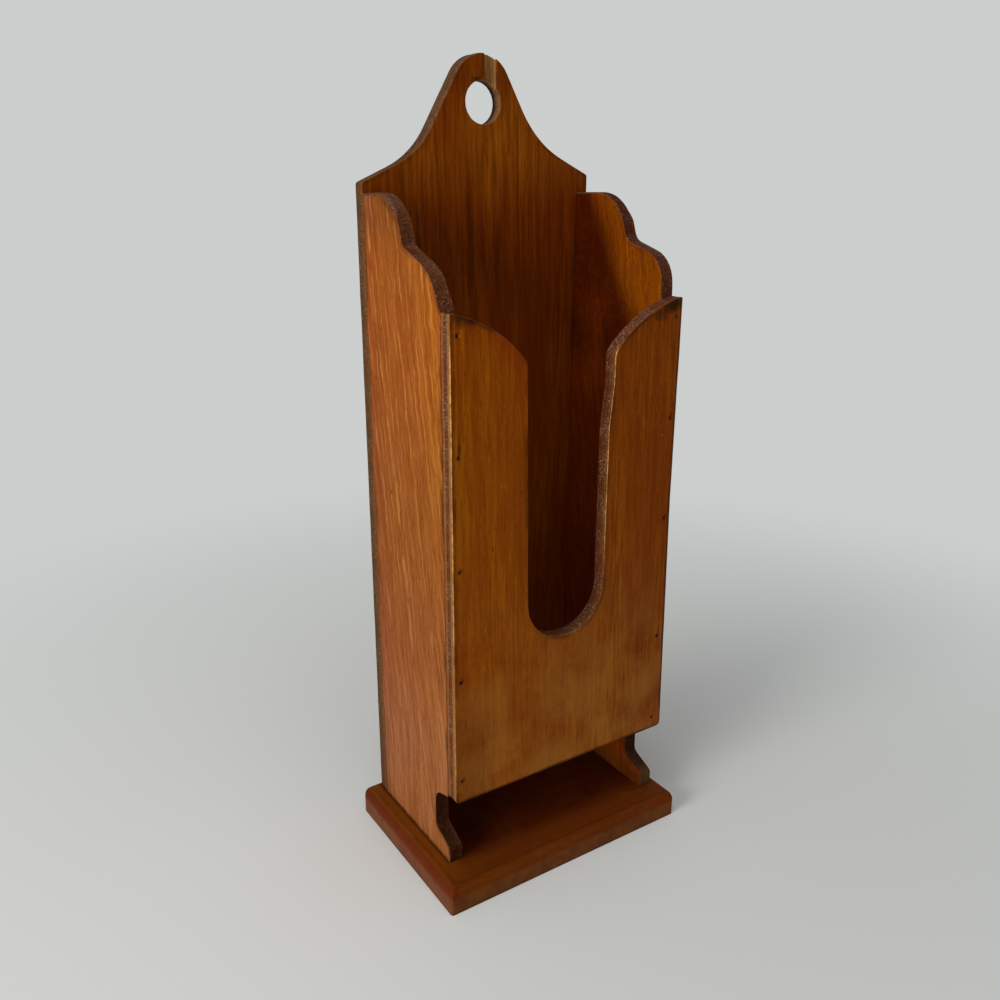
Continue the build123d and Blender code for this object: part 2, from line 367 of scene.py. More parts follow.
def bore_hole(sheet, faces, loop, flip, seed):
    """The hanging hole: drilled by hand, so its rim is chipped and its wall a little rough."""
    centre, radius = middle_and_radius(loop)
    count = 120
    spokes = ring_round((0, 0), 1.0, count)
    wall = centre + spokes * radius
    chip = rough(sheet.place(wall), 1.2 * MM, seed + 8)
    soft = (0.55 + 1.0 * np.clip(chip - 0.50, 0, 1)) * MM
    steps = [rounding(soft, degrees) for degrees in (0, 22.5, 45, 67.5, 90)]
    steps += [(0.0, sheet.thick * share, 1.0) for share in np.linspace(0.22, 0.90, 8)]
    for degrees in (90, 60, 30, 0):
        further, depth, sawn = rounding(0.45 * MM, degrees)
        steps.append((further, sheet.thick - depth, sawn))
    rings = []
    for further, depth, sawn in steps:
        depth = np.broadcast_to(depth, count)
        uneven = 0.16 * MM * rough(sheet.place(wall, depth.mean()), 1.6 * MM, seed + 9) * sawn
        rings.append((centre + spokes * (radius + further + uneven)[:, None], depth,
                      {"sawn": sawn, "arris": float(0.2 < sawn < 0.95)}))
    numbers = sheet.stack(rings, flip)
    faces[True].append((rings[0][0], numbers[0]))
    faces[False].append((rings[-1][0], numbers[-1]))


# From the rim of the well to its floor: reach as a share of the well, sink in millimetres, how dark
WELL_STEPS = ((1.15, 0.0, 0.45), (0.95, 0.08, 0.75), (0.85, 0.35, 1.0), (0.80, 1.2, 1.0))


def nail_well(sheet, faces, side, loop, flip):
    """The small ragged well over a nail head that was punched below the face."""
    centre, radius = middle_and_radius(loop)
    spokes = ring_round((0, 0), 1.0, 20)
    uneven = 0.40 + 0.30 * rough(sheet.place(centre + spokes * radius), 0.7 * MM, 31)
    spokes = spokes * uneven[:, None] * [1.0, 1.3]
    rings = []
    for reach, sink, dark in WELL_STEPS:
        depth = sink * MM if side else sheet.thick - sink * MM
        rings.append((centre + spokes * radius * reach, depth, {"nail": dark}))
    numbers = sheet.stack(rings, flip == side)
    faces[side].append((rings[0][0], numbers[0]))
    floor = numbers[-1].tolist()
    sheet.faces.append(floor[::-1] if flip == side else floor)


# The torn strip in millimetres: its left side from the board's middle at the top, how much further right that
# lies at the hole, its right side, and its depth
STRIP_LEFT, STRIP_SLANT, STRIP_RIGHT, STRIP_DEPTH = 1.0, 2.2, 8.7, 2.0


def tear_strip(board, bore_z):
    """Breaks the strip of face ply off the crown above the hanging hole, with splintered sides and floor."""
    low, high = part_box("back_board")
    middle = (low.x + high.x) / 2
    columns, rows = 20, 60
    heights = np.linspace(bore_z, high.z + 3 * MM, rows)
    share = np.clip((high.z - heights) / (high.z - bore_z), 0, 1)
    sides = [np.column_stack([np.full(rows, k), np.zeros(rows), heights]) for k in (0.0, 1.0)]
    left = (middle + (STRIP_LEFT + STRIP_SLANT * share) * MM
            + 0.5 * MM * (rough(sides[0], 2.6 * MM, 21) - 0.5))
    right = middle + STRIP_RIGHT * MM + 0.25 * MM * (rough(sides[1], 3.4 * MM, 22) - 0.5)
    points = []
    for on_floor in (False, True):
        for z, x_left, x_right in zip(heights, left, right):
            for x in np.linspace(x_left, x_right, columns):
                fibre = (noise.noise(Vector((x * 1500, z * 60, 0.3)))
                         + noise.noise(Vector((x * 600, z * 25, 4.1))))
                floor = low.y + (STRIP_DEPTH + 0.28 * fibre) * MM
                points.append((x, floor if on_floor else low.y - 1 * MM, z))
    layer = rows * columns
    faces = []
    for row in range(rows - 1):
        for column in range(columns - 1):
            here = row * columns + column
            corners = here, here + 1, here + columns + 1, here + columns
            faces.append(corners)
            faces.append(tuple(layer + corners[turn] for turn in (0, 3, 2, 1)))
    rim = [*range(columns - 1)]
    rim += [columns - 1 + columns * row for row in range(rows - 1)]
    rim += [layer - 1 - column for column in range(columns - 1)]
    rim += [columns * (rows - 1 - row) for row in range(rows - 1)]
    for here, there in zip(rim, rim[1:] + rim[:1]):
        faces.append((there, here, layer + here, layer + there))
    mesh = bpy.data.meshes.new("torn strip")
    mesh.from_pydata(points, [], faces)
    cutter = set_out("torn strip", mesh)
    cut = board.modifiers.new("torn strip", "BOOLEAN")
    cut.operation, cut.solver, cut.object = "DIFFERENCE", "EXACT", cutter
    bpy.context.view_layer.update()
    torn = bpy.data.meshes.new_from_object(board.evaluated_get(bpy.context.evaluated_depsgraph_get()))
    board.modifiers.remove(cut)
    board.data = torn
    bpy.data.objects.remove(cutter)


# Shader kits

# Corners of the boards' boxes in millimetres, read from the solids
BASE_LOW, BASE_HIGH = (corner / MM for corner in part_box("base_board"))
BACK_LOW, BACK_HIGH = (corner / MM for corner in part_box("back_board"))
LEFT_LOW, LEFT_HIGH = (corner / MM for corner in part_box("left_side"))
RIGHT_LOW, RIGHT_HIGH = (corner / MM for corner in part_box("right_side"))
FRONT_LOW, FRONT_HIGH = (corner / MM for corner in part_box("front_panel"))


def shade(red, green, blue):
    return (red, green, blue, 1.0)


class Kit:
    """Sets nodes in one shader tree. What goes into a node is a value or another node's output."""

    def __init__(self, tree):
        self.tree = tree

    def put(self, kind, inputs=None, **settings):
        node = self.tree.nodes.new("ShaderNode" + kind)
        for key, value in settings.items():
            setattr(node, key, value)
        for key, value in (inputs or {}).items():
            if isinstance(value, bpy.types.NodeSocket):
                self.tree.links.new(value, node.inputs[key])
            else:
                node.inputs[key].default_value = value
        return node

    def calc(self, operation, first, second=0.0, clamp=False):
        return self.put("Math", {0: first, 1: second}, operation=operation, use_clamp=clamp).outputs[0]

    def times(self, first, *others):
        """The product of everything given."""
        for other in others:
            first = self.calc("MULTIPLY", first, other)
        return first

    def plus(self, first, *others):
        """The sum of everything given."""
        for other in others:
            first = self.calc("ADD", first, other)
        return first

    def rest(self, share):
        """What a share leaves of 1."""
        return self.calc("SUBTRACT", 1.0, share)

    def centred(self, speckle, reach):
        """A speckle that swings about 0, with this reach from its lowest to its highest."""
        return self.times(self.calc("SUBTRACT", speckle, 0.5), reach)

    def spread(self, value, low, high, least=0.0):
        """Goes smoothly from least to 1 while the value goes from low to high."""
        return self.put("MapRange", {0: value, 1: low, 2: high, 3: least},
                        interpolation_type="SMOOTHSTEP").outputs[0]

    def ramp(self, length, low, high, least=0.0):
        """A spread of a length, its two ends given in millimetres."""
        return self.spread(length, low * MM, high * MM, least)

    def blend(self, share, first, second, how="MIX"):
        return self.put("Mix", {0: share, 6: first, 7: second}, data_type="RGBA", blend_type=how).outputs[2]

    def over(self, colour, tone, *where):
        """The tone laid over the colour, as strongly as the product of the masks says."""
        return self.blend(self.times(*where), colour, shade(*tone))

    def tint(self, colour, tone, *where):
        """The colour times the tone: all over, or as strongly as the product of the masks says."""
        return self.blend(self.times(*where) if where else 1.0, colour, shade(*tone), "MULTIPLY")

    def vector(self, operation, first, second=(0.0, 0.0, 0.0)):
        return self.put("VectorMath", {0: first, 1: second}, operation=operation).outputs

    def combine(self, *parts):
        return self.put("CombineXYZ", dict(enumerate(parts))).outputs[0]

    def split(self, vector):
        return tuple(self.put("SeparateXYZ", {0: vector}).outputs)

    def speckle(self, place, scale, detail=2.0, roughness=0.5):
        """Noise from 0 to 1. The scale is one number, or one for each axis."""
        if not isinstance(scale, float):
            place, scale = self.vector("MULTIPLY", place, scale)[0], 1.0
        return self.put("TexNoise", {"Vector": place, "Scale": scale, "Detail": detail,
                                     "Roughness": roughness}).outputs[0]

    def away(self, place, spot, stretch):
        """How far the place is from a spot given in millimetres, with each axis stretched."""
        offset = self.vector("SUBTRACT", place, tuple(part * MM for part in spot))[0]
        return self.vector("LENGTH", self.vector("MULTIPLY", offset, stretch)[0])["Value"]

    def group(self, tree, inputs):
        return self.put("Group", inputs, node_tree=tree).outputs


class Surface(Kit):
    def __init__(self, name):
        self.material = bpy.data.materials.new(name)
        self.material.use_nodes = True
        self.material.node_tree.nodes.clear()
        super().__init__(self.material.node_tree)
        self.place = self.put("TexCoord").outputs["Object"]

    def finish(self, kind, inputs):
        shader = self.put(kind, inputs)
        self.tree.links.new(shader.outputs[0], self.put("OutputMaterial").inputs[0])
        return self.material


class WoodSurface(Surface):
    """A wooden surface: also knows where each point lies, which way it faces, and the run of its grain."""

    def __init__(self, name, grain_axes, figure):
        super().__init__(name)
        self.x, self.y, self.z = parts = self.split(self.place)
        self.facing = self.put("NewGeometry").outputs["Normal"]
        grain_place = self.combine(*(parts[axis] for axis in grain_axes))
        self.wood = self.group(wood_figure, {"Place": grain_place, **figure})
        self.seed = figure["Seed"]

    def worn(self, arris, rubbed):
        return self.group(worn_edge, {"Place": self.place, "Arris": arris, "Rubbed": rubbed,
                                      "Seed": self.seed})

    def dust(self):
        return self.group(handling_dust, {"Place": self.place, "Facing": self.facing, "Seed": self.seed})

    def finish_wood(self, colour, gloss, relief, strength, shine, shine_tint):
        bump = self.put("Bump", {"Strength": strength, "Distance": 0.09 * MM, "Height": relief})
        return self.finish("BsdfPrincipled", {
            "Base Color": colour, "Roughness": gloss, "Normal": bump.outputs[0], "Specular IOR Level": shine,
            "Specular Tint": shade(*shine_tint)})


class PlySurface(WoodSurface):
    """The surface of a sheet: also reads its marks. Its reverse is the flat face at the full depth: towards
    the pocket, or on the back board towards the wall."""

    def __init__(self, name, grain_axes, figure):
        super().__init__(name, grain_axes, figure)
        self.mark = {label: self.put("Attribute", attribute_name=label).outputs["Fac"]
                     for label in (*MARKS, "rub")}
        self.flat = self.rest(self.mark["sawn"])
        self.reverse = self.times(self.spread(self.mark["layer"], 0.5, 0.9), self.flat)
        self.outside = self.rest(self.reverse)


# Shader groups

def new_group(name, inputs, outputs):
    """An empty shader node group: (its kit, its inputs seen from inside, a function that fills an output).

    An input that is None here is a vector, the others are numbers with their usual value."""
    tree = bpy.data.node_groups.new(name, "ShaderNodeTree")
    for label, value in inputs.items():
        kind = "NodeSocketVector" if value is None else "NodeSocketFloat"
        socket = tree.interface.new_socket(label, in_out="INPUT", socket_type=kind)
        if value is not None:
            socket.default_value = value
    for label in outputs:
        tree.interface.new_socket(label, in_out="OUTPUT", socket_type="NodeSocketFloat")
    start, end = tree.nodes.new("NodeGroupInput"), tree.nodes.new("NodeGroupOutput")

    def give(label, value):
        tree.links.new(value, end.inputs[label])
    return Kit(tree), start.outputs, give


def make_wood_figure():
    """Growth lines, streaks, pores, light flecks and patches. Place has the grain along its third axis."""
    kit, given, give = new_group(
        "wood figure",
        {"Place": None, "Ring gap": 0.006, "Ring width": 0.5, "Ring sway": 0.004, "Flutter": 0.001,
         "Lean": 0.0, "Breaks": 24.0, "Seed": 0.0},
        ("Rings", "Streaks", "Pores", "Flecks", "Bands", "Patches"))
    shift = kit.combine(*(kit.times(given["Seed"], part) for part in (0.37, 0.73, 1.91)))
    place = kit.vector("ADD", given["Place"], shift)[0]
    across, deep, along = kit.split(place)

    def drift(where, scale, reach):
        return kit.centred(kit.speckle(where, scale, 1.5), reach)
    bent = kit.plus(across, kit.times(along, given["Lean"]), drift(place, (60, 60, 120), given["Flutter"]))
    bent_place = kit.combine(bent, deep, along)
    swayed = kit.plus(bent, drift(place, (20, 20, 7), given["Ring sway"]),
                      drift(bent_place, (170, 170, 5), kit.times(given["Ring gap"], 1.7)))
    rank = kit.calc("DIVIDE", swayed, given["Ring gap"])
    turn, width = kit.calc("FRACT", rank), given["Ring width"]
    rise = kit.spread(turn, kit.rest(width), kit.rest(kit.times(width, 0.35)))
    fall = kit.spread(turn, 1.0, kit.rest(kit.times(width, 0.22)))
    own = kit.put("TexWhiteNoise", {"W": kit.calc("FLOOR", rank)}, noise_dimensions="1D").outputs["Value"]
    lengths = kit.speckle(bent_place, kit.combine(130.0, 130.0, given["Breaks"]))
    faint = kit.times(kit.spread(lengths, 0.36, 0.62, 0.04), kit.plus(0.45, kit.times(own, 0.55)))
    give("Rings", kit.times(rise, fall, faint))
    give("Streaks", kit.spread(kit.speckle(bent_place, (560, 560, 34), 5.0, 0.66), 0.36, 0.64))
    give("Bands", kit.spread(kit.speckle(bent_place, (95, 95, 9), 3.0, 0.55), 0.34, 0.66))
    dashes = kit.speckle(bent_place, (1400, 1400, 190), 2.0, 0.6)
    sown = kit.speckle(place, (70, 70, 25))
    give("Pores", kit.times(kit.spread(dashes, 0.58, 0.69), kit.spread(sown, 0.36, 0.62)))
    give("Flecks", kit.times(kit.spread(dashes, 0.42, 0.31), kit.spread(sown, 0.62, 0.38)))
    give("Patches", kit.spread(kit.speckle(place, (17, 17, 6), 3.0, 0.55), 0.28, 0.72))
    return kit.tree


def make_ply_layers():
    """The three layers of a sawn ply edge: where the core and the rear layer show, the two glue lines, torn
    end grain, and its fibres and fuzz."""
    kit, given, give = new_group("ply layers", {"Place": None, "Layer": 0.0},
                                 ("Core", "Rear", "Glue", "Tear", "Fibre", "Fuzz"))
    place = given["Place"]
    layer = kit.plus(given["Layer"], kit.centred(kit.speckle(place, 140.0), 0.05))
    from_middle = kit.calc("ABSOLUTE", kit.calc("SUBTRACT", layer, 0.5))
    give("Core", kit.spread(from_middle, 0.185, 0.145))
    give("Rear", kit.spread(layer, 0.45, 0.55))
    give("Glue", kit.spread(kit.calc("ABSOLUTE", kit.calc("SUBTRACT", from_middle, 0.165)), 0.045, 0.012))
    grit = kit.speckle(place, 1150.0, 4.0, 0.70)
    give("Tear", kit.spread(grit, 0.42, 0.60))
    give("Fuzz", kit.times(kit.spread(grit, 0.49, 0.38), kit.spread(kit.speckle(place, 130.0), 0.36, 0.58)))
    give("Fibre", kit.spread(kit.speckle(place, 490.0, 3.0, 0.6), 0.35, 0.65))
    return kit.tree


def make_worn_edge():
    """Where handling has rubbed the stain off an arris: strongest on the arris itself, in uneven runs."""
    kit, given, give = new_group("worn edge", {"Place": None, "Arris": 0.0, "Rubbed": 1.0, "Seed": 0.0},
                                 ("Bare", "Grime"))
    place = kit.vector("ADD", given["Place"], kit.combine(given["Seed"], 0.0, 0.0))[0]
    runs = kit.speckle(place, 38.0, 3.0)
    nicks = kit.speckle(place, 230.0, 4.0, 0.75)
    some = kit.times(kit.spread(runs, 0.35, 0.62), kit.spread(nicks, 0.30, 0.60))
    most = kit.times(kit.spread(given["Rubbed"], 0.60, 1.0), kit.spread(nicks, 0.42, 0.56, 0.28),
                     kit.spread(runs, 0.36, 0.62, 0.60))
    rubbed = kit.calc("MAXIMUM", some, most)
    give("Bare", kit.calc("MULTIPLY", kit.times(rubbed, given["Arris"]), given["Rubbed"], clamp=True))
    give("Grime", kit.spread(runs, 0.60, 0.38))
    return kit.tree


def make_handling_dust():
    """Pale dust that lies on what faces up, and a haze of fine scratches, as colour and roughness masks."""
    kit, given, give = new_group("handling dust", {"Place": None, "Facing": None, "Seed": 0.0},
                                 ("Dust", "Scuff"))
    upwards = kit.split(given["Facing"])[2]
    give("Dust", kit.times(kit.spread(upwards, 0.15, 0.9),
                           kit.spread(kit.speckle(given["Place"], 55.0, 5.0, 0.7), 0.35, 0.70)))
    place = kit.vector("ADD", given["Place"], kit.combine(0.0, 0.0, given["Seed"]))[0]
    give("Scuff", kit.times(kit.spread(kit.speckle(place, 260.0, 6.0, 0.75), 0.42, 0.70),
                            kit.spread(kit.speckle(place, 21.0), 0.35, 0.65)))
    return kit.tree


wood_figure = make_wood_figure()
ply_layers = make_ply_layers()
worn_edge = make_worn_edge()
handling_dust = make_handling_dust()


# Stained ply

def ply_material(name, grain_axes, light, dark, ring_tone, red_tone, edge_tones, bare_tone, figure, amounts,
                 own_face, own_cut, own_lines=None, own_last=None):
    """Stained ply: a grained face, sawn edges with layers, rubbed arrises, nail stains and dust.

    edge_tones: front layer, core, rear layer, glue line. figure: the wood figure's own values. amounts: how
    strongly each effect shows. Functions give what only this board has: own_face and own_cut change its faces
    and its sawn edges, own_lines says where its growth lines show, and own_last has the last word."""
    kit = PlySurface(name, grain_axes, figure)
    mark, wood = kit.mark, kit.wood
    colour = kit.blend(wood["Streaks"], shade(*light), shade(*dark))
    colour = kit.over(colour, red_tone, wood["Bands"], amounts["bands"])
    colour = kit.over(colour, red_tone, wood["Patches"], amounts["patches"])
    lines = kit.times(wood["Rings"], *(own_lines(kit) if own_lines else ()))
    colour = kit.over(colour, ring_tone, lines, amounts["rings"])
    colour = kit.over(colour, (1.5 * part for part in light), wood["Flecks"], amounts["flecks"])
    colour = kit.over(colour, (0.30 * part for part in dark), wood["Pores"], amounts["pores"])
    colour = own_face(kit, colour)

    rubbing = kit.calc("MAXIMUM", kit.spread(mark["arris"], 0.50, 0.97),
                       kit.times(mark["sawn"], amounts["flank"]))
    worn = kit.worn(rubbing, mark["rub"])
    rim_dirt = kit.times(kit.spread(mark["rim"], 2.4, 0.3), kit.flat, worn["Grime"])
    colour = kit.over(colour, (0.022, 0.007, 0.002), rim_dirt, 0.6)
    colour = kit.over(colour, (0.060, 0.012, 0.003), kit.spread(mark["nail"], 0.10, 0.45), 0.35)
    colour = kit.over(colour, (0.024, 0.004, 0.002), kit.spread(mark["nail"], 0.45, 0.80), 0.9)

    edge = kit.group(ply_layers, {"Place": kit.place, "Layer": mark["layer"]})
    front_tone, core_tone, rear_tone, glue_tone = edge_tones
    cut = kit.blend(edge["Rear"], shade(*front_tone), shade(*rear_tone))
    cut = kit.over(cut, core_tone, edge["Fibre"], 0.5)
    cut = kit.over(cut, core_tone, edge["Core"])
    cut = kit.over(cut, (0.30 * part for part in core_tone), edge["Tear"], 0.62)
    cut = kit.over(cut, glue_tone, edge["Glue"], amounts["glue"])
    cut = own_cut(kit, edge, cut)
    cut = kit.over(cut, (0.34, 0.19, 0.11), edge["Fuzz"], kit.ramp(kit.z, 52, 66, 0.25), amounts["fuzz"])
    colour = kit.blend(mark["sawn"], colour, cut)

    colour = kit.over(colour, bare_tone, worn["Bare"])
    dust = kit.dust()
    colour = kit.over(colour, (0.32, 0.22, 0.15), dust["Dust"], 0.10)
    colour = kit.over(colour, (0.42, 0.17, 0.020), dust["Scuff"], amounts["scuff"])
    if own_last:
        colour = own_last(kit, colour)

    gloss = kit.plus(kit.times(mark["sawn"], 0.16), kit.times(dust["Scuff"], 0.15), 0.52,
                     kit.times(wood["Streaks"], 0.08))
    relief = kit.plus(kit.times(kit.plus(wood["Pores"], kit.times(lines, 0.35)), -1.0),
                      kit.times(wood["Streaks"], -0.30))
    cut_relief = kit.plus(kit.times(edge["Tear"], -3.0), kit.times(edge["Glue"], -1.0))
    height = kit.put("Mix", {0: mark["sawn"], 2: relief, 3: cut_relief}, data_type="FLOAT").outputs[0]
    return kit.finish_wood(colour, gloss, height, 0.60, 0.10, (1.0, 0.60, 0.12))


def ragged_spots(kit, colour, tone, spots, grit, swing, heart):
    """Ragged spots of the tone: (where, reach, how much taller than wide, strength), in millimetres.

    The grit swings an edge by so many times its reach. A spot is strongest within heart times its reach."""
    for where, reach, tall, strength in spots:
        away = kit.away(kit.place, where, (1.0, 1.0, 1.0 / tall))
        away = kit.plus(away, kit.centred(grit, reach * swing * MM))
        colour = kit.over(colour, tone, kit.ramp(away, reach, reach * heart), strength)
    return colour


def soaked_places(kit, colour, spots, tone=(0.016, 0.006, 0.002)):
    return ragged_spots(kit, colour, tone, spots, kit.speckle(kit.place, 210.0, 4.0, 0.65), 1.5, 0.2)


def pale_chips(kit, colour, spots):
    """Small chips where a face has splintered and the pale wood shows."""
    return ragged_spots(kit, colour, (0.55, 0.30, 0.11), spots, kit.speckle(kit.place, 900.0), 1.8, 0.6)


# The front panel's finish

def front_face(kit, colour):
    """Darker and redder towards the right, with a pale haze low down that is a painted reflection of the
    floor, grime of hands, a dark foot and right rim, partly stain and partly painted shade, redder wood under
    the left curve, chips, soaked corners, and marks by the brads."""
    rim = kit.mark["rim"]
    colour = kit.tint(colour, (0.62, 0.55, 0.6), kit.reverse)
    colour = kit.tint(colour, (0.77, 0.645, 0.75), kit.ramp(kit.x, -40, 50))
    # Painted reflection of the floor: a pale, greyish haze low down on the face.
    haze = kit.spread(kit.speckle(kit.place, 34.0, 4.0, 0.65), 0.30, 0.65)
    colour = kit.over(colour, (0.41, 0.170, 0.026), kit.ramp(kit.z, 190, 80), haze, 0.45)
    low_left = kit.times(kit.ramp(kit.x, -36, -54), kit.ramp(kit.z, 130, 90))
    colour = kit.tint(colour, (0.78, 0.74, 0.88), low_left)
    hand_grime = kit.times(kit.ramp(kit.x, FRONT_LOW.x + 5, FRONT_LOW.x + 0.5), kit.ramp(kit.z, 90, 190))
    colour = kit.tint(colour, (0.62, 0.62, 0.8), hand_grime, 0.8)
    # Along the foot and the right rim: dark stain, with painted shade on the arris.
    foot_or_right = kit.calc("MAXIMUM", kit.ramp(kit.z, FRONT_LOW.z + 4, FRONT_LOW.z + 3),
                             kit.ramp(kit.x, RIGHT_HIGH.x - 3, RIGHT_HIGH.x - 2))
    colour = kit.over(colour, (0.060, 0.014, 0.004), foot_or_right, kit.spread(rim, 1.5, 0.1), 0.85)
    under_curve = kit.times(kit.spread(rim, 13.0, 2.0), kit.ramp(kit.z, 255, 285), kit.ramp(kit.x, -5, -20))
    colour = kit.tint(colour, (0.92, 0.66, 0.9), under_curve, 0.7)
    (left, y, _), right, top = FRONT_LOW, RIGHT_HIGH.x, FRONT_HIGH.z
    colour = pale_chips(kit, colour, (
        ((left + 5.3, y, 299.3), 0.42, 2.2, 0.75),
        ((right - 9.0, y, 237), 0.50, 1.2, 0.75),
        ((left + 12, y, top - 1.5), 0.6, 1.5, 0.75)))
    colour = soaked_places(kit, colour, (
        ((left + 6, y, top), 15, 0.7, 0.75),
        ((left + 18, y, top - 2), 9, 0.5, 0.6),
        ((right - 8, y, top - 4), 9, 0.75, 0.9),
        ((right - 15, y, top - 9), 7, 0.6, 0.6)))
    side = LEFT_LOW.x
    return soaked_places(kit, colour, (
        ((side + 4.4, y, 247), 1.0, 5.0, 0.75),
        ((side + 5.0, y, 187), 1.4, 1.6, 0.5),
        ((side + 4.6, y, 127), 1.7, 1.6, 0.55),
        ((side + 5.0, y, 69), 1.6, 1.4, 0.5),
        ((side + 6.6, y, 101), 0.8, 6.0, 0.5),
        ((right - 3.6, y, 247), 1.2, 3.0, 0.6),
        ((right - 3.4, y, 190), 1.0, 3.0, 0.6),
        ((right - 3.0, y, 119), 1.1, 4.0, 0.65)), tone=(0.040, 0.008, 0.002))


def front_cut(kit, edge, cut):
    """The two outer layers of the left edge have stayed pale. The foot, the bottom of the slot and the
    rounded shoulders took up more stain."""
    pale = kit.blend(edge["Rear"], shade(0.30, 0.115, 0.030), shade(0.255, 0.080, 0.020))
    pale = kit.over(pale, (0.14, 0.045, 0.012), edge["Tear"], 0.35)
    outer_layers = kit.times(kit.rest(edge["Core"]), kit.rest(edge["Glue"]))
    cut = kit.blend(kit.times(kit.ramp(kit.x, FRONT_LOW.x + 4, FRONT_LOW.x + 2), outer_layers), cut, pale)
    cut = kit.over(cut, (0.050, 0.014, 0.006), kit.ramp(kit.z, FRONT_LOW.z + 3, FRONT_LOW.z + 1),
                   kit.ramp(kit.x, FRONT_LOW.x + 1, FRONT_LOW.x + 4), 0.8)
    slot_bottom = kit.times(kit.ramp(kit.z, 152, 146), kit.ramp(kit.z, 120, 124),
                            kit.ramp(kit.calc("ABSOLUTE", kit.x), 40, 36))
    cut = kit.tint(cut, (0.66, 0.58, 0.50), slot_bottom)
    shoulders = kit.times(kit.ramp(kit.z, 281, 289), kit.ramp(kit.x, FRONT_LOW.x + 2, FRONT_LOW.x + 6))
    return kit.tint(cut, (0.84, 0.68, 0.84), shoulders)


front_ply = ply_material(
    "front_ply", (0, 1, 2),
    light=(0.450, 0.134, 0.0020), dark=(0.215, 0.048, 0.0008), ring_tone=(0.13, 0.024, 0.0010),
    red_tone=(0.250, 0.046, 0.0008),
    edge_tones=((0.195, 0.058, 0.018), (0.160, 0.042, 0.015), (0.150, 0.034, 0.013), (0.060, 0.018, 0.009)),
    bare_tone=(0.78, 0.40, 0.12),
    figure={"Ring gap": 0.013, "Ring width": 0.4, "Ring sway": 0.012, "Flutter": 0.0010, "Lean": 0.02,
            "Breaks": 24.0, "Seed": 3.0},
    amounts={"rings": 0.35, "bands": 0.60, "patches": 0.72, "pores": 0.60, "flecks": 0.30, "flank": 0.1,
             "scuff": 0.08, "glue": 0.6, "fuzz": 0.8},
    own_face=front_face, own_cut=front_cut)


# The sides' finish

def side_lines(kit):
    """Strongest high up outside, faint on the inner faces."""
    return kit.ramp(kit.z, 110, 300, 0.40), kit.rest(kit.times(kit.reverse, 0.85))


def side_face(kit, colour):
    """Painted light and shade on the inner faces: golden where daylight would reach them, dark behind, and a
    little painted bounce light from below and from the back board. Outside: zones along the height, a dark
    joint and pale streaks low down, bruises."""
    y, z, outside = kit.y, kit.z, kit.outside
    # Painted light and shade for the inner faces, multiplied onto the reverse faces below.
    shadow_edge = kit.calc("SUBTRACT", y, kit.times(kit.calc("SUBTRACT", z, 312 * MM), 0.60))
    reached = kit.times(kit.ramp(shadow_edge, 9, -12), kit.ramp(z, 240, 290))
    light = kit.blend(reached, shade(0.25, 0.105, 0.04), shade(0.86, 0.84, 0.12))
    light = kit.tint(light, (0.78, 0.66, 0.9), kit.ramp(z, 304, 335))
    light = kit.over(light, (0.74, 0.42, 0.09), kit.ramp(z, 285, 250))
    bounced = kit.times(kit.ramp(z, 318, 294), kit.ramp(z, 238, 275), kit.ramp(y, 10, 18))
    light = kit.tint(light, (1.9, 2.2, 1.5), bounced)
    light = kit.over(light, (1.02, 0.64, 0.30), kit.ramp(z, 110, 50))
    light = kit.over(light, (0.41, 0.35, 0.56), kit.ramp(z, 34, 16))
    light = kit.tint(light, (1.9, 2.3, 1.6), kit.ramp(z, 64, 54), kit.ramp(y, -26, -6))
    colour = kit.blend(kit.reverse, colour, light, "MULTIPLY")
    colour = kit.tint(colour, (0.90, 0.80, 1.0), outside, kit.ramp(y, 22, 42))
    colour = kit.tint(colour, (1.08, 1.12, 0.85), outside, kit.ramp(y, 0, -28), kit.ramp(z, 150, 260))
    colour = kit.over(colour, (0.045, 0.014, 0.004), kit.ramp(z, 16.0, 13.8), outside, 0.65)
    colour = kit.tint(colour, (0.90, 1.10, 2.6), kit.ramp(z, 200, 60), outside, 0.8)
    streaks = kit.spread(kit.speckle(kit.place, (90, 260, 16), 2.0, 0.6), 0.40, 0.66)
    colour = kit.over(colour, (0.45, 0.185, 0.085), kit.ramp(z, 130, 50), outside, streaks, 0.34)
    colour = kit.tint(colour, (0.76, 0.81, 0.98), outside, kit.ramp(z, 325, 350))
    colour = kit.tint(colour, (0.93, 0.98, 1.05), outside, kit.ramp(z, 270, 230), kit.ramp(z, 110, 160))
    return soaked_places(kit, colour, (
        ((LEFT_LOW.x, 23, 211), 1.6, 1.0, 0.6),
        ((LEFT_LOW.x, 22, 317), 1.0, 1.0, 0.7),
        ((LEFT_LOW.x, 26, 170), 2.5, 3.5, 0.30)))


def side_cut(kit, edge, cut):
    """The coves' saw cuts are darker than the scallops', and the right foot's toe is rubbed."""
    right = kit.ramp(kit.x, 0, 10)
    cut = kit.tint(cut, (0.40, 0.27, 0.28), kit.ramp(kit.z, 62, 54))
    cut = kit.tint(cut, (0.70, 0.58, 0.85), right)
    return kit.over(cut, (0.098, 0.052, 0.016), kit.ramp(kit.z, 26, 21), right, 0.75)


